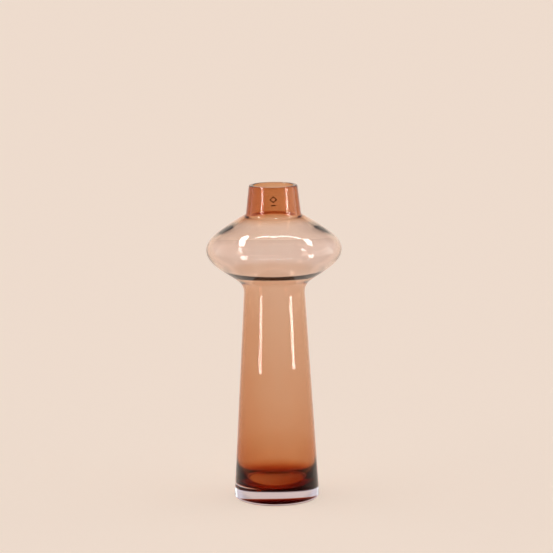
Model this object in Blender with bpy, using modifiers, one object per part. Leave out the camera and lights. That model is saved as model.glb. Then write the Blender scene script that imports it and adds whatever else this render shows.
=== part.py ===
"""Cased glass bud vase.

A tall stem tapers upward to a waist, swells into one lens-shaped hollow bulb and
ends in a short neck that narrows to the mouth.  The vase is mouth-blown from two
layers of glass: an amber lining on the inside and a clear casing around it, which
is solid below the lining and makes the foot.  A small clear label sits on the back
of the neck.

Frame: the vase stands on its foot on z = 0, its axis is Z, its label faces +Y.
Profiles are lists of 2D points (radius, height).
"""

import math

import bpy
from mathutils import Vector
from mathutils.geometry import interpolate_bezier

MM = 0.001

# Outside of the vase: lengths from the mouth down, then radii
height = 280.0 * MM
neck_length = 25.9 * MM
shoulder_drop = 31.2 * MM
belly_drop = 31.2 * MM
mouth_radius = 21.2 * MM
neck_root_radius = 24.2 * MM
bulb_radius = 59.4 * MM
waist_radius = 26.3 * MM
foot_radius = 37.9 * MM

# Flanks of the bulb: their slope at neck and waist, and how far they run before they turn
shoulder_slope = math.radians(29.6)
shoulder_run = 0.844
shoulder_nose = 0.261
belly_slope = math.radians(35.4)
belly_run = 0.466
belly_nose = 0.343

# Roundings of the outside
neck_fillet = 2.8 * MM
waist_fillet = 14.0 * MM
foot_edge = 2.6 * MM
lip_edge = 1.6 * MM

# Clear casing: its wall beside the lining, and the solid foot under it
casing_neck_wall = 2.3 * MM
casing_bulb_wall = 1.0 * MM
casing_waist_wall = 1.9 * MM
casing_stem_wall = 0.9 * MM
casing_heel_wall = 2.1 * MM
foot_thickness = 11.0 * MM

# Amber lining: its wall, its thick bottom, and the heel where wall turns into bottom
lining_neck_wall = 1.6 * MM
lining_bulb_wall = 0.5 * MM
lining_waist_wall = 1.1 * MM
lining_stem_wall = 0.8 * MM
lining_bottom = 4.6 * MM
lining_edge = 2.4 * MM
lining_lip_edge = 1.2 * MM
heel_height = 54.0 * MM
floor_radius = 15.0 * MM

# The layers are modelled this far apart, and the label this far off the glass
layer_gap = 0.3 * MM

# Clear film label on the back of the neck
label_width = 13.0 * MM
label_height = 12.0 * MM
label_thickness = 0.2 * MM
label_below_mouth = 11.8 * MM

# Fineness of the turned surfaces
turn_steps = 40
label_steps = 5
curve_points = 10
collection_name = "glass_bud_vase"

# Heights that follow from the lengths above
neck_root_z = height - neck_length
bulb_z = neck_root_z - shoulder_drop
waist_z = bulb_z - belly_drop
lining_z = foot_thickness + layer_gap
floor_z = lining_z + lining_bottom


def rounded_corner(before, corner, after, radius, segments):
    """Points of the arc that rounds the corner between two straight runs."""
    inward = (before - corner).normalized()
    outward = (after - corner).normalized()
    half_angle = inward.angle(outward) / 2.0
    tangent_length = radius / math.tan(half_angle)
    centre = corner + (inward + outward).normalized() * (radius / math.sin(half_angle))
    first = corner + inward * tangent_length - centre
    last = corner + outward * tangent_length - centre
    start_angle = math.atan2(first.y, first.x)
    sweep = math.atan2(last.y, last.x) - start_angle
    sweep = (sweep + math.pi) % (2.0 * math.pi) - math.pi
    points = []
    for step in range(segments + 1):
        angle = start_angle + sweep * step / segments
        points.append(centre + Vector((math.cos(angle), math.sin(angle))) * radius)
    return points


def bezier(start, start_handle, end_handle, end, count):
    """Points of a Bezier curve."""
    knots = [point.to_3d() for point in (start, start_handle, end_handle, end)]
    return [point.to_2d() for point in interpolate_bezier(*knots, count)]


def straight(start, end, count):
    """Points of a straight run, both ends included."""
    return [start.lerp(end, step / (count - 1)) for step in range(count)]


def outside_curve():
    """Outside of the vase from the floor up to the mouth, without its end roundings."""
    foot = Vector((foot_radius, 0.0))
    waist = Vector((waist_radius, waist_z))
    equator = Vector((bulb_radius, bulb_z))
    neck_root = Vector((neck_root_radius, neck_root_z))
    mouth = Vector((mouth_radius, height))

    out_of_waist = Vector((math.cos(belly_slope), math.sin(belly_slope)))
    out_of_neck = Vector((math.cos(shoulder_slope), -math.sin(shoulder_slope)))
    waist_arc = rounded_corner(foot, waist, waist + out_of_waist, waist_fillet, 5)
    neck_arc = rounded_corner(neck_root + out_of_neck, neck_root, mouth, neck_fillet, 3)

    belly_handle = out_of_waist * belly_run * (bulb_radius - waist_radius)
    belly_nose_handle = Vector((0.0, belly_nose * belly_drop))
    belly = bezier(waist_arc[-1], waist_arc[-1] + belly_handle, equator - belly_nose_handle,
                   equator, curve_points)
    shoulder_handle = out_of_neck * shoulder_run * (bulb_radius - neck_root_radius)
    shoulder_nose_handle = Vector((0.0, shoulder_nose * shoulder_drop))
    shoulder = bezier(equator, equator + shoulder_nose_handle, neck_arc[0] + shoulder_handle,
                      neck_arc[0], curve_points)
    stem = straight(foot, waist_arc[0], 7)
    return stem + waist_arc[1:] + belly[1:] + shoulder[1:] + neck_arc[1:] + [mouth]


def wall_at(z, stations):
    """Wall thickness at a height, eased between (height, wall) stations."""
    for (low_z, low_wall), (high_z, high_wall) in zip(stations, stations[1:]):
        if z <= high_z:
            share = min(max((z - low_z) / (high_z - low_z), 0.0), 1.0)
            eased = share * share * (3.0 - 2.0 * share)
            return low_wall + (high_wall - low_wall) * eased
    return stations[-1][1]


def inset(curve, stations, extra):
    """The curve moved into the glass, square to itself, by the wall plus extra."""
    moved = []
    for index, point in enumerate(curve):
        before = curve[max(index - 1, 0)]
        after = curve[min(index + 1, len(curve) - 1)]
        along = (after - before).normalized()
        into_glass = Vector((-along.y, along.x))
        moved.append(point + into_glass * (wall_at(point.y, stations) + extra))
    # the last run is straight, so it is drawn on to the mouth's height
    last, previous = moved[-1], moved[-2]
    slope = (last.x - previous.x) / (last.y - previous.y)
    moved[-1] = Vector((last.x + slope * (height - last.y), height))
    return moved


def above(curve, z):
    """The part of a rising curve above a height, starting with a point at that height."""
    for index in range(1, len(curve)):
        low, high = curve[index - 1], curve[index]
        if low.y <= z < high.y:
            cut = low.lerp(high, (z - low.y) / (high.y - low.y))
            return [cut] + [p for p in curve[index:] if (p - cut).length > 0.4 * MM]
    return curve


def casing_stations():
    """Heights and walls of the clear casing."""
    return [
        (foot_thickness, casing_heel_wall),
        (heel_height, casing_stem_wall),
        (waist_z - 2.0 * waist_fillet, casing_stem_wall),
        (waist_z + 0.25 * waist_fillet, casing_waist_wall),
        (bulb_z, casing_bulb_wall),
        (neck_root_z, casing_neck_wall),
        (height, casing_neck_wall),
    ]


def lining_stations():
    """Heights and walls of the amber lining above its heel."""
    return [
        (heel_height, lining_stem_wall),
        (waist_z - 2.0 * waist_fillet, lining_stem_wall),
        (waist_z + 0.25 * waist_fillet, lining_waist_wall),
        (bulb_z, lining_bulb_wall),
        (neck_root_z, lining_neck_wall),
        (height, lining_neck_wall),
    ]


def total_stations():
    """Heights and summed walls of the casing, the gap and the lining."""
    return [(z, wall + wall_at(z, casing_stations()) + layer_gap)
            for z, wall in lining_stations()]


def new_material(name, colour, roughness):
    """A plain Principled material for one layer."""
    material = bpy.data.materials.new(name)
    material.use_nodes = True
    surface = material.node_tree.nodes["Principled BSDF"]
    surface.inputs["Base Color"].default_value = colour
    surface.inputs["Roughness"].default_value = roughness
    surface.inputs["Metallic"].default_value = 0.0
    surface.inputs["Transmission Weight"].default_value = 1.0
    return material


def turned_object(name, profile, material, collection, steps, angle):
    """A profile turned about Z with a Screw modifier."""
    mesh = bpy.data.meshes.new(name)
    points = [(point.x, 0.0, point.y) for point in profile]
    edges = [(index, index + 1) for index in range(len(points) - 1)]
    mesh.from_pydata(points, edges, [])
    mesh.materials.append(material)
    turned = bpy.data.objects.new(name, mesh)
    collection.objects.link(turned)
    screw = turned.modifiers.new("turn", "SCREW")
    screw.axis = "Z"
    screw.angle = angle
    screw.steps = steps
    screw.render_steps = steps
    screw.use_merge_vertices = True
    screw.merge_threshold = 0.01 * MM
    screw.use_smooth_shade = True
    return turned


def make_casing(collection):
    """Clear outer glass with the solid foot."""
    outside = outside_curve()
    foot, stem_end = outside[0], outside[1]
    neck_arc_end, mouth = outside[-2], outside[-1]
    axis_at_floor = Vector((0.0, 0.0))
    foot_arc = rounded_corner(axis_at_floor, foot, stem_end, foot_edge, 4)
    lip_arc = rounded_corner(neck_arc_end, mouth, Vector((0.0, height)), lip_edge, 3)

    pocket = above(inset(outside, casing_stations(), 0.0), foot_thickness)
    pocket_centre = Vector((0.0, foot_thickness))
    pocket_arc = rounded_corner(pocket_centre, pocket[0], pocket[1],
                                lining_edge + layer_gap, 3)
    profile = [pocket_centre] + pocket_arc + pocket[1:]
    profile += lip_arc[::-1] + outside[1:-1][::-1] + foot_arc[::-1] + [axis_at_floor]
    glass = new_material("clear_glass", (0.86, 0.82, 0.86, 1.0), 0.02)
    return turned_object("clear_casing", profile, glass, collection,
                         turn_steps, 2.0 * math.pi)


def make_lining(collection):
    """Amber inner glass with its thick bottom."""
    outside = outside_curve()
    join = above(inset(outside, casing_stations(), layer_gap), lining_z)
    bottom_centre = Vector((0.0, lining_z))
    bottom_arc = rounded_corner(bottom_centre, join[0], join[1], lining_edge, 3)

    cavity = above(inset(outside, total_stations(), 0.0), heel_height)
    heel = cavity[0]
    wall_run = (heel - cavity[1]).normalized()
    floor_edge = Vector((floor_radius, floor_z))
    heel_drop = heel_height - floor_z
    heel_curve = bezier(floor_edge, floor_edge + Vector((0.5 * (heel.x - floor_radius), 0.0)),
                        heel + wall_run * 0.8 * heel_drop, heel, 8)
    cavity_lip = rounded_corner(cavity[-2], cavity[-1], join[-1], lining_lip_edge, 3)

    profile = [Vector((0.0, floor_z))] + heel_curve + cavity[1:-1] + cavity_lip
    profile += join[1:][::-1] + bottom_arc[::-1] + [bottom_centre]
    amber = new_material("amber_glass", (0.80, 0.36, 0.10, 1.0), 0.02)
    return turned_object("amber_lining", profile, amber, collection,
                         turn_steps, 2.0 * math.pi)


def make_label(collection):
    """Thin clear film that follows the back of the neck."""
    top_z = height - label_below_mouth
    bottom_z = top_z - label_height
    taper = (neck_root_radius - mouth_radius) / neck_length
    top = Vector((mouth_radius + taper * label_below_mouth + layer_gap, top_z))
    bottom = Vector((top.x + taper * label_height, bottom_z))
    angle = label_width / top.x
    film = new_material("label_film", (0.90, 0.88, 0.84, 1.0), 0.25)
    label = turned_object("neck_label", [top, bottom], film, collection, label_steps, angle)
    thickness = label.modifiers.new("film", "SOLIDIFY")
    thickness.thickness = label_thickness
    thickness.offset = 1.0
    label.rotation_euler = (0.0, 0.0, math.pi / 2.0 - angle / 2.0)
    return label


for old in list(bpy.data.objects):
    bpy.data.objects.remove(old, do_unlink=True)

vase = bpy.data.collections.new(collection_name)
bpy.context.scene.collection.children.link(vase)
make_casing(vase)
make_lining(vase)
make_label(vase)
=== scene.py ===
"""Looks of a cased glass bud vase: clear glass over an amber lining.

The vase stands on z = 0 with its axis on Z and faces -Y; its mark is on the back of
the neck.  Metres throughout, heights counted from the floor.
"""

import math

import bmesh
import bpy
from mathutils import Matrix, Vector
from mathutils.geometry import interpolate_bezier


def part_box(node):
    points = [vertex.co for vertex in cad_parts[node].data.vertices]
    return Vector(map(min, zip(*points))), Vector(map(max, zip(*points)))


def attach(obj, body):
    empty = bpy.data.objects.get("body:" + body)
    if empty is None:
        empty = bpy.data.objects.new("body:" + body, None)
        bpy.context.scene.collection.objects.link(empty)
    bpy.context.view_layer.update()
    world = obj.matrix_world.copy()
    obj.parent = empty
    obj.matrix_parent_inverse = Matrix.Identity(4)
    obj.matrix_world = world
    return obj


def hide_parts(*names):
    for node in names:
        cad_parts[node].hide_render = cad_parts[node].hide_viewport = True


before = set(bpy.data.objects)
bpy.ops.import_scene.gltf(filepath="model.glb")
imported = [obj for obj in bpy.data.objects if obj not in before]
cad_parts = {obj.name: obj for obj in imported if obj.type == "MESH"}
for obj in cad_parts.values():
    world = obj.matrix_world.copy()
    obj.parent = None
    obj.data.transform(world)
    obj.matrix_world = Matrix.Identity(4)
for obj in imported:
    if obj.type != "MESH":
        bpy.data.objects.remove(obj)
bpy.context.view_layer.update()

MM = 0.001


# ---------------------------------------------------------------------------
# Clear glass: the whole blown wall, from the polished lip to the solid foot.
# It is gathered over the amber, blown, and turned true while hot, so its outside
# is one smooth revolved skin and its inside follows it at a changing distance.
# ---------------------------------------------------------------------------

casing_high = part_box("clear_casing")[1]
height = casing_high.z
bulb_radius = casing_high.x
neck_length = 25.9 * MM
shoulder_drop = 31.2 * MM
belly_drop = 31.2 * MM
mouth_radius = 21.2 * MM
neck_root_radius = 24.2 * MM
waist_radius = 26.3 * MM
foot_radius = 37.9 * MM
shoulder_slope = math.radians(29.6)
belly_slope = math.radians(35.4)
neck_fillet = 2.8 * MM
waist_fillet = 14.0 * MM
foot_edge = 2.6 * MM
lip_outer_edge = 1.0 * MM
lip_inner_edge = 0.9 * MM
heel_height = 37.0 * MM
floor_radius = 23.5 * MM
base_hollow = 0.9 * MM
standing_radius = 34.0 * MM
inner_waist_fillet = 12.0 * MM
inner_neck_fillet = 2.8 * MM
around = 256

# How far each end of a curve pulls it along, as a share of its width or height.
belly_run, belly_nose = 0.466, 0.343
shoulder_run, shoulder_nose = 0.844, 0.261
heel_run, heel_rise = 0.60, 0.72

neck_root_z = height - neck_length
bulb_z = neck_root_z - shoulder_drop
waist_z = bulb_z - belly_drop
floor_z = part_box("amber_lining")[0].z + 1.6 * MM

# Thickness of the whole wall, clear and amber together, by height.
wall = [
    (heel_height, 2.0 * MM),
    (waist_z - 2.0 * waist_fillet, 1.9 * MM),
    (waist_z + 0.26 * belly_drop, 2.4 * MM),
    (waist_z + 0.46 * belly_drop, 1.3 * MM),
    (bulb_z + 0.30 * shoulder_drop, 1.1 * MM),
    (bulb_z + 0.97 * shoulder_drop, 3.4 * MM),
    (neck_root_z, 3.8 * MM),
    (height, 3.6 * MM),
]


def rounded_corner(before, corner, after, radius, segments):
    """Points of the arc that rounds the corner between two straight runs."""
    inward = (before - corner).normalized()
    outward = (after - corner).normalized()
    half_angle = inward.angle(outward) / 2.0
    tangent_length = radius / math.tan(half_angle)
    centre = corner + (inward + outward).normalized() * (radius / math.sin(half_angle))
    first = corner + inward * tangent_length - centre
    last = corner + outward * tangent_length - centre
    start_angle = math.atan2(first.y, first.x)
    sweep = math.atan2(last.y, last.x) - start_angle
    sweep = (sweep + math.pi) % (2.0 * math.pi) - math.pi
    points = []
    for step in range(segments + 1):
        angle = start_angle + sweep * step / segments
        points.append(centre + Vector((math.cos(angle), math.sin(angle))) * radius)
    return points


def bezier(start, start_handle, end_handle, end, count):
    """Points of a Bezier curve."""
    knots = [point.to_3d() for point in (start, start_handle, end_handle, end)]
    return [point.to_2d() for point in interpolate_bezier(*knots, count)]


def straight(start, end, count):
    """Points of a straight run, both ends included."""
    return [start.lerp(end, step / (count - 1)) for step in range(count)]


def outside_curve(waist_rounding, neck_rounding):
    """Outside of the vase from the floor up to the mouth, without its end roundings."""
    foot = Vector((foot_radius, 0.0))
    waist = Vector((waist_radius, waist_z))
    equator = Vector((bulb_radius, bulb_z))
    neck_root = Vector((neck_root_radius, neck_root_z))
    mouth = Vector((mouth_radius, height))
    out_of_waist = Vector((math.cos(belly_slope), math.sin(belly_slope)))
    out_of_neck = Vector((math.cos(shoulder_slope), -math.sin(shoulder_slope)))
    waist_arc = rounded_corner(foot, waist, waist + out_of_waist, waist_rounding, 12)
    neck_arc = rounded_corner(neck_root + out_of_neck, neck_root, mouth, neck_rounding, 8)
    belly_pull = out_of_waist * belly_run * (bulb_radius - waist_radius)
    belly = bezier(waist_arc[-1], waist_arc[-1] + belly_pull,
                   equator - Vector((0.0, belly_nose * belly_drop)), equator, 40)
    shoulder_pull = out_of_neck * shoulder_run * (bulb_radius - neck_root_radius)
    shoulder = bezier(equator, equator + Vector((0.0, shoulder_nose * shoulder_drop)),
                      neck_arc[0] + shoulder_pull, neck_arc[0], 40)
    stem = straight(foot, waist_arc[0], 30)
    neck = straight(neck_arc[-1], mouth, 8)
    return stem + waist_arc[1:] + belly[1:] + shoulder[1:] + neck_arc[1:] + neck[1:]


def eased(z, stations):
    """A thickness at a height, eased between (height, thickness) stations."""
    if z <= stations[0][0]:
        return stations[0][1]
    for (low_z, low), (high_z, high) in zip(stations, stations[1:]):
        if z <= high_z:
            share = (z - low_z) / (high_z - low_z)
            return low + (high - low) * share * share * (3.0 - 2.0 * share)
    return stations[-1][1]


def moved_left(curve, distance_at):
    """The curve moved to the left of its direction by distance_at(point)."""
    moved = []
    for index, point in enumerate(curve):
        before = curve[max(index - 1, 0)]
        after = curve[min(index + 1, len(curve) - 1)]
        along = (after - before).normalized()
        moved.append(point + Vector((-along.y, along.x)) * distance_at(point))
    return moved


def cavity_curve():
    """Inside of the vase from the middle of its floor up to the mouth."""
    followed = outside_curve(inner_waist_fillet, inner_neck_fillet)
    inner = moved_left(followed, lambda point: eased(point.y, wall))
    rising = [point for point in inner if point.y > heel_height]
    rising = rising[:-1] + [Vector((rising[-1].x, height))]
    heel = rising[0]
    wall_run = (heel - rising[1]).normalized()
    floor_edge = Vector((floor_radius, floor_z))
    heel_drop = heel_height - floor_z
    floor_pull = Vector((heel_run * (heel.x - floor_radius), 0.0))
    heel_curve = bezier(floor_edge, floor_edge + floor_pull,
                        heel + wall_run * heel_rise * heel_drop, heel, 40)
    return [Vector((0.0, floor_z))] + heel_curve + rising[1:]


def turned_piece(name, profile):
    """A closed profile, given from axis to axis, spun about Z into one solid."""
    mesh = bmesh.new()
    verts = [mesh.verts.new((point.x, 0.0, point.y)) for point in profile]
    edges = [mesh.edges.new(pair) for pair in zip(verts, verts[1:])]
    bmesh.ops.spin(mesh, geom=verts + edges, cent=(0.0, 0.0, 0.0), axis=(0.0, 0.0, 1.0),
                   angle=2.0 * math.pi, steps=around, use_merge=True)
    bmesh.ops.remove_doubles(mesh, verts=mesh.verts, dist=0.002 * MM)
    bmesh.ops.recalc_face_normals(mesh, faces=mesh.faces)
    if mesh.calc_volume(signed=True) < 0.0:
        bmesh.ops.reverse_faces(mesh, faces=mesh.faces)
    for face in mesh.faces:
        face.smooth = True
    data = bpy.data.meshes.new(name)
    mesh.to_mesh(data)
    mesh.free()
    piece = bpy.data.objects.new(name, data)
    bpy.context.scene.collection.objects.link(piece)
    return piece


def blown_ripple_group():
    """Faint waves, taller than wide, and colour streaks that blown glass keeps."""
    group = bpy.data.node_groups.new("blown ripple", "ShaderNodeTree")
    for name, kind, way in (("Wave Size", "NodeSocketFloat", "INPUT"),
                            ("Streak Size", "NodeSocketFloat", "INPUT"),
                            ("Wave", "NodeSocketFloat", "OUTPUT"),
                            ("Streak", "NodeSocketFloat", "OUTPUT")):
        group.interface.new_socket(name=name, socket_type=kind, in_out=way)
    nodes = group.nodes
    links = group.links
    given = nodes.new("NodeGroupInput")
    result = nodes.new("NodeGroupOutput")
    place = nodes.new("ShaderNodeTexCoord")
    drawn_out = nodes.new("ShaderNodeMapping")
    drawn_out.inputs["Scale"].default_value = (1.0, 1.0, 0.35)
    links.new(place.outputs["Object"], drawn_out.inputs["Vector"])
    for size, kind, detail in (("Wave Size", "Wave", 1.0), ("Streak Size", "Streak", 3.0)):
        noise = nodes.new("ShaderNodeTexNoise")
        noise.inputs["Detail"].default_value = detail
        noise.inputs["Roughness"].default_value = 0.4
        links.new(drawn_out.outputs["Vector"], noise.inputs["Vector"])
        links.new(given.outputs[size], noise.inputs["Scale"])
        links.new(noise.outputs["Fac"], result.inputs[kind])
    return group


def glass_material(name, ior, colour_pair, tint, density, wave_depth):
    """Glass that takes its depth of colour from its thickness."""
    material = bpy.data.materials.new(name)
    material.use_nodes = True
    nodes = material.node_tree.nodes
    links = material.node_tree.links
    surface = nodes["Principled BSDF"]
    surface.inputs["Metallic"].default_value = 0.0
    surface.inputs["Roughness"].default_value = 0.0
    surface.inputs["IOR"].default_value = ior
    surface.inputs["Transmission Weight"].default_value = 1.0
    surface.inputs["Specular Tint"].default_value = (0.24, 0.15, 0.15, 1.0)
    ripple = nodes.new("ShaderNodeGroup")
    ripple.node_tree = blown_ripple
    ripple.inputs["Wave Size"].default_value = 38.0
    ripple.inputs["Streak Size"].default_value = 95.0
    colour = nodes.new("ShaderNodeMix")
    colour.data_type = "RGBA"
    colour.inputs["A"].default_value = (*colour_pair[0], 1.0)
    colour.inputs["B"].default_value = (*colour_pair[1], 1.0)
    links.new(ripple.outputs["Streak"], colour.inputs["Factor"])
    links.new(colour.outputs["Result"], surface.inputs["Base Color"])
    waves = nodes.new("ShaderNodeBump")
    waves.inputs["Strength"].default_value = 1.0
    waves.inputs["Distance"].default_value = wave_depth
    links.new(ripple.outputs["Wave"], waves.inputs["Height"])
    links.new(waves.outputs["Normal"], surface.inputs["Normal"])
    body = nodes.new("ShaderNodeVolumeAbsorption")
    body.inputs["Color"].default_value = (*tint, 1.0)
    body.inputs["Density"].default_value = density
    links.new(body.outputs["Volume"], nodes["Material Output"].inputs["Volume"])
    return material


outside = outside_curve(waist_fillet, neck_fillet)
cavity = cavity_curve()
foot_arc = rounded_corner(Vector((0.0, 0.0)), outside[0], outside[1], foot_edge, 10)
lip_outer = rounded_corner(outside[-2], outside[-1], cavity[-1], lip_outer_edge, 8)
lip_inner = rounded_corner(outside[-1], cavity[-1], cavity[-2], lip_inner_edge, 8)
below_foot_arc = [point for point in outside if point.y <= foot_arc[-1].y]
below_lip = [point for point in outside[len(below_foot_arc):] if point.y < lip_outer[0].y]
cavity_wall = [point for point in cavity if point.y < lip_inner[-1].y]
hollow_steps = 24
hollow_base = [Vector((standing_radius * step / hollow_steps,
                       base_hollow * (1.0 - (step / hollow_steps) ** 2)))
               for step in range(hollow_steps + 1)]
wall_profile = (hollow_base + foot_arc + below_lip + lip_outer + lip_inner
                + cavity_wall[::-1])

clear_glass = turned_piece("clear_glass_body", wall_profile)
blown_ripple = blown_ripple_group()
clear_glass.data.materials.append(
    glass_material("clear glass", 1.5, ((0.965, 0.95, 0.98), (0.945, 0.915, 0.96)),
                   (0.52, 0.42, 0.50), 10.0, 0.04 * MM))
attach(clear_glass, "root")
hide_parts("clear_casing")


# ---------------------------------------------------------------------------
# Amber lining: the first gather of glass, coloured all through and fused inside the
# clear glass, so it colours light but does not bend it.  It is thin in the bulb, thick
# in the neck, and settles into a heavy, slightly tilted pool under the cavity's floor.
# ---------------------------------------------------------------------------

# Thickness of the amber alone, by height.
amber_wall = [
    (26.0 * MM, 1.14 * MM),
    (41.0 * MM, 1.03 * MM),
    (60.0 * MM, 0.78 * MM),
    (96.0 * MM, 0.65 * MM),
    (132.0 * MM, 0.57 * MM),
    (waist_z + 0.24 * belly_drop, 0.44 * MM),
    (waist_z + 0.45 * belly_drop, 0.15 * MM),
    (bulb_z, 0.15 * MM),
    (bulb_z + 0.70 * shoulder_drop, 0.20 * MM),
    (neck_root_z + 2.0 * MM, 1.26 * MM),
    (height - 5.0 * MM, 1.20 * MM),
    (height, 1.60 * MM),
]
pool_radius = 34.0 * MM
pool_shoulder_z = 26.0 * MM
amber_bottom_z = 10.3 * MM
amber_bottom_edge = 6.0 * MM
pool_top_z = 20.0 * MM
amber_tilt_x = -0.051
amber_tilt_y = -0.068
amber_lean = 0.12
lean_least_reach = 0.1 * MM
hairline = 0.02 * MM


def radius_at(curve, z):
    """Radius of a rising curve at a height."""
    for low, high in zip(curve, curve[1:]):
        if low.y < z <= high.y:
            return low.lerp(high, (z - low.y) / (high.y - low.y)).x
    return curve[-1].x


lining_inside = moved_left(cavity, lambda point: -hairline)
lining_inside = [Vector((0.0, floor_z - hairline))] + lining_inside[1:-1]
lining_inside.append(Vector((cavity[-1].x + hairline, height - hairline)))
lining_outside = moved_left(cavity, lambda point: -eased(point.y, amber_wall))
lining_outside = [point for point in lining_outside if point.y > pool_shoulder_z]
lining_top = Vector((lining_outside[-1].x, height - hairline))
lining_inner_lip = rounded_corner(lining_top, lining_inside[-1], lining_inside[-2],
                                  lip_inner_edge, 8)
lining_wall = [point for point in lining_inside if point.y < lining_inner_lip[-1].y]
pool_edge = rounded_corner(Vector((0.0, amber_bottom_z)),
                           Vector((pool_radius, amber_bottom_z)),
                           lining_outside[0], amber_bottom_edge, 8)
lining_profile = ([Vector((0.0, amber_bottom_z))] + pool_edge + lining_outside[:-1]
                  + [lining_top] + lining_inner_lip + lining_wall[::-1])

amber_lining = turned_piece("amber_lining_body", lining_profile)
for vertex in amber_lining.data.vertices:
    if vertex.co.z > pool_shoulder_z and vertex.co.z < height - lip_inner_edge:
        reach = math.hypot(vertex.co.x, vertex.co.y) - radius_at(lining_inside, vertex.co.z)
        if reach > lean_least_reach:
            vertex.co.x -= amber_lean * reach
    if vertex.co.z < pool_top_z and vertex.co.z < floor_z - 2.0 * hairline:
        vertex.co.z += amber_tilt_x * vertex.co.x + amber_tilt_y * vertex.co.y
amber_lining.data.materials.append(
    glass_material("amber glass", 1.0, ((1.0, 1.0, 1.0), (1.0, 0.96, 0.92)),
                   (0.82, 0.45, 0.03), 1000.0, 0.02 * MM))
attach(amber_lining, "root")
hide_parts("amber_lining")


# ---------------------------------------------------------------------------
# Neck label: a small clear film stuck on the back of the neck, printed in brown
# with a plain rhombus over a short bar.
# ---------------------------------------------------------------------------

label_low, label_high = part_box("neck_label")
neck_taper = (neck_root_radius - mouth_radius) / neck_length
ink_thickness = 0.03 * MM
ink_gap = 0.01 * MM
ink_stroke = 0.9 * MM
rhombus_half_width = 4.0 * MM
rhombus_half_height = 3.2 * MM
rhombus_z = label_low.z + 7.6 * MM
bar_half_width = 2.4 * MM
bar_half_height = 0.45 * MM
bar_z = label_low.z + 2.2 * MM

film = bpy.data.materials.new("clear film")
film.use_nodes = True
film_nodes = film.node_tree.nodes
film_surface = film_nodes["Principled BSDF"]
film_surface.inputs["Base Color"].default_value = (1.0, 1.0, 1.0, 1.0)
film_surface.inputs["Transmission Weight"].default_value = 1.0
film_surface.inputs["IOR"].default_value = 1.12
film_surface.inputs["Metallic"].default_value = 0.0
film_crinkle = film_nodes.new("ShaderNodeGroup")
film_crinkle.node_tree = blown_ripple
film_crinkle.inputs["Wave Size"].default_value = 900.0
film_crinkle.inputs["Streak Size"].default_value = 2200.0
film_sheen = film_nodes.new("ShaderNodeMapRange")
film_sheen.inputs["To Min"].default_value = 0.02
film_sheen.inputs["To Max"].default_value = 0.08
film.node_tree.links.new(film_crinkle.outputs["Streak"], film_sheen.inputs["Value"])
film.node_tree.links.new(film_sheen.outputs["Result"], film_surface.inputs["Roughness"])
label = bpy.data.objects["neck_label"]
for slot in label.material_slots:
    slot.material = film

mark_mesh = bmesh.new()
bmesh.ops.create_circle(mark_mesh, cap_ends=True, segments=4, radius=1.0)
bmesh.ops.scale(mark_mesh, verts=mark_mesh.verts,
                vec=(rhombus_half_width, rhombus_half_height, 1.0))
rim = bmesh.ops.inset_region(mark_mesh, faces=mark_mesh.faces[:], thickness=ink_stroke,
                             use_boundary=True, use_even_offset=True)
middle = [face for face in mark_mesh.faces if face not in rim["faces"]]
bmesh.ops.delete(mark_mesh, geom=middle, context="FACES")
bmesh.ops.translate(mark_mesh, verts=mark_mesh.verts, vec=(0.0, rhombus_z, 0.0))
bar = bmesh.ops.create_grid(mark_mesh, x_segments=1, y_segments=1, size=1.0)
bmesh.ops.scale(mark_mesh, verts=bar["verts"], vec=(bar_half_width, bar_half_height, 1.0))
bmesh.ops.translate(mark_mesh, verts=bar["verts"], vec=(0.0, bar_z, 0.0))
bmesh.ops.subdivide_edges(mark_mesh, edges=mark_mesh.edges[:], cuts=7, use_grid_fill=True)
bmesh.ops.recalc_face_normals(mark_mesh, faces=mark_mesh.faces)
bmesh.ops.solidify(mark_mesh, geom=mark_mesh.faces[:], thickness=ink_thickness)
lowest_ink = min(vertex.co.z for vertex in mark_mesh.verts)
for vertex in mark_mesh.verts:
    across, z, proud = vertex.co
    reach = (label_high.y - neck_taper * (z - label_low.z)) + ink_gap + proud - lowest_ink
    turn = across / reach
    vertex.co = (-reach * math.sin(turn), reach * math.cos(turn), z)
bmesh.ops.recalc_face_normals(mark_mesh, faces=mark_mesh.faces)
mark_data = bpy.data.meshes.new("printed_mark")
mark_mesh.to_mesh(mark_data)
mark_mesh.free()
mark = bpy.data.objects.new("printed_mark", mark_data)
bpy.context.scene.collection.objects.link(mark)

ink = bpy.data.materials.new("brown ink")
ink.use_nodes = True
ink_nodes = ink.node_tree.nodes
ink_surface = ink_nodes["Principled BSDF"]
ink_surface.inputs["Roughness"].default_value = 0.55
ink_cover = ink_nodes.new("ShaderNodeGroup")
ink_cover.node_tree = blown_ripple
ink_cover.inputs["Wave Size"].default_value = 1500.0
ink_cover.inputs["Streak Size"].default_value = 4000.0
ink_colour = ink_nodes.new("ShaderNodeMix")
ink_colour.data_type = "RGBA"
ink_colour.inputs["A"].default_value = (0.16, 0.060, 0.022, 1.0)
ink_colour.inputs["B"].default_value = (0.26, 0.105, 0.040, 1.0)
ink.node_tree.links.new(ink_cover.outputs["Streak"], ink_colour.inputs["Factor"])
ink.node_tree.links.new(ink_colour.outputs["Result"], ink_surface.inputs["Base Color"])
mark_data.materials.append(ink)
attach(mark, "root")


# ---------------------------------------------------------------------------
# Floor, light and camera: a plain pale floor, a frame of long soft lamps in front of
# and above the vase, a dim panel on each side, and a warm surround that is bright at the
# sides and low behind and dark elsewhere.
# ---------------------------------------------------------------------------

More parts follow.
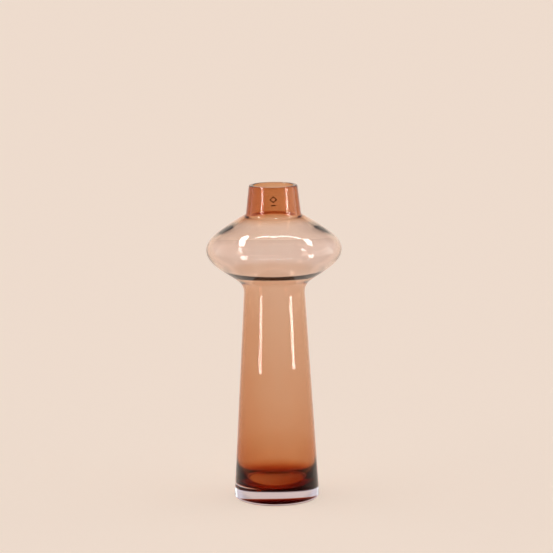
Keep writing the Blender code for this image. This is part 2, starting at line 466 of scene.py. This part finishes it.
air_under_foot = 0.2 * MM
floor_mesh = bmesh.new()
bmesh.ops.create_circle(floor_mesh, cap_ends=True, segments=96, radius=18.0)
floor_data = bpy.data.meshes.new("floor")
floor_mesh.to_mesh(floor_data)
floor_mesh.free()
floor = bpy.data.objects.new("floor", floor_data)
floor.location.z = -air_under_foot
bpy.context.scene.collection.objects.link(floor)
floor_paint = bpy.data.materials.new("floor paint")
floor_paint.use_nodes = True
floor_surface = floor_paint.node_tree.nodes["Principled BSDF"]
floor_surface.inputs["Base Color"].default_value = (0.62, 0.54, 0.47, 1.0)
floor_surface.inputs["Roughness"].default_value = 0.9
floor_surface.inputs["Specular IOR Level"].default_value = 0.0
floor_surface.inputs["Emission Color"].default_value = (1.0, 0.85, 0.715, 1.0)
floor_surface.inputs["Emission Strength"].default_value = 0.54
floor_data.materials.append(floor_paint)

world = bpy.data.worlds.new("light tent")
bpy.context.scene.world = world
world.use_nodes = True
world_nodes = world.node_tree.nodes
world_links = world.node_tree.links
surround = world_nodes["Background"]
direction = world_nodes.new("ShaderNodeTexCoord")
split = world_nodes.new("ShaderNodeSeparateXYZ")
sideways = world_nodes.new("ShaderNodeMath")
sideways.operation = "ABSOLUTE"
backwards = world_nodes.new("ShaderNodeVectorMath")
backwards.operation = "DOT_PRODUCT"
backwards.inputs[1].default_value = (0.0, 1.0, -1.2)
world_links.new(direction.outputs["Generated"], split.inputs["Vector"])
world_links.new(split.outputs["X"], sideways.inputs[0])
world_links.new(direction.outputs["Generated"], backwards.inputs[0])
shade = None
for value, low, high, before, after in (
        (sideways, 0.45, 0.75, (0.30, 0.27, 0.28, 1.0), (0.95, 0.91, 0.93, 1.0)),
        (backwards, 0.30, 0.55, None, (0.95, 0.82, 0.71, 1.0))):
    panel = world_nodes.new("ShaderNodeMapRange")
    panel.interpolation_type = "SMOOTHSTEP"
    panel.inputs["From Min"].default_value = low
    panel.inputs["From Max"].default_value = high
    world_links.new(value.outputs["Value"], panel.inputs["Value"])
    layer = world_nodes.new("ShaderNodeMix")
    layer.data_type = "RGBA"
    layer.inputs["B"].default_value = after
    if shade is None:
        layer.inputs["A"].default_value = before
    else:
        world_links.new(shade, layer.inputs["A"])
    world_links.new(panel.outputs["Result"], layer.inputs["Factor"])
    shade = layer.outputs["Result"]
world_links.new(shade, surround.inputs["Color"])

vase_only = bpy.data.collections.new("vase")
for piece in (clear_glass, amber_lining, label, mark):
    vase_only.objects.link(piece)


def light_bar(name, start, end, width, radiance, seen_through=True):
    """A flat lamp between two points, facing the bulb; it lights the vase only."""
    start = Vector(start)
    end = Vector(end)
    along = (end - start).normalized()
    middle = (start + end) / 2.0
    back = (middle - Vector((0.0, 0.0, bulb_z))).normalized()
    back = (back - along * back.dot(along)).normalized()
    across = along.cross(back)
    lamp = bpy.data.lights.new(name, "AREA")
    lamp.shape = "RECTANGLE"
    lamp.size = width
    lamp.size_y = (end - start).length
    lamp.energy = radiance * math.pi * lamp.size * lamp.size_y
    lamp.color = (0.80, 1.0, 0.96)
    bar = bpy.data.objects.new(name, lamp)
    turn = Matrix((across, along, back)).transposed()
    bar.matrix_world = Matrix.Translation(middle) @ turn.to_4x4()
    bar.visible_camera = False
    bar.visible_transmission = seen_through
    bar.light_linking.receiver_collection = vase_only
    bpy.context.scene.collection.objects.link(bar)


light_bar("left bar", (-0.50, -0.42, 0.055), (-0.50, -0.42, 0.41), 0.13, 55.0)
light_bar("right bar", (0.574, -0.305, 0.055), (0.574, -0.305, 0.41), 0.13, 55.0)
light_bar("left arm", (-0.49, -0.29, 0.55), (-0.405, -0.057, 0.735), 0.055, 32.0)
light_bar("left shoulder", (-0.37, 0.0, 0.755), (-0.28, 0.21, 0.79), 0.08, 38.0)
light_bar("top left bar", (-0.20, 0.10, 0.82), (0.01, 0.055, 0.86), 0.014, 42.0)
light_bar("top right bar", (0.01, 0.055, 0.86), (0.27, 0.13, 0.79), 0.014, 42.0)
light_bar("right shoulder", (0.32, 0.175, 0.785), (0.45, 0.035, 0.735), 0.08, 38.0)
light_bar("right arm", (0.36, -0.18, 0.74), (0.44, -0.26, 0.63), 0.06, 42.0)
light_bar("front bar", (-0.36, -0.62, 0.175), (0.36, -0.62, 0.175), 0.05, 60.0, False)
light_bar("right panel", (0.95, -0.05, 0.10), (0.95, -0.05, 0.70), 1.1, 1.8)
light_bar("left panel", (-0.95, -0.05, 0.10), (-0.95, -0.05, 0.70), 1.1, 0.8)

camera_down = math.radians(9.4)
camera_roll = math.radians(-0.72)
camera_data = bpy.data.cameras.new("camera")
camera_data.lens = 143.4
camera_data.sensor_width = 36.0
camera = bpy.data.objects.new("camera", camera_data)
camera.location = (0.002, -1.9124, 0.5152)
lean = Matrix.Rotation(camera_roll, 4, "Z")
nod = Matrix.Rotation(math.pi / 2.0 - camera_down, 4, "X")
camera.rotation_euler = (nod @ lean).to_euler()
bpy.context.scene.collection.objects.link(camera)
bpy.context.scene.camera = camera

bpy.context.scene.view_settings.view_transform = "Standard"
cycles = bpy.context.scene.cycles
cycles.max_bounces = 32
cycles.transmission_bounces = 32
cycles.glossy_bounces = 12
cycles.diffuse_bounces = 4
cycles.sample_clamp_indirect = 4.0
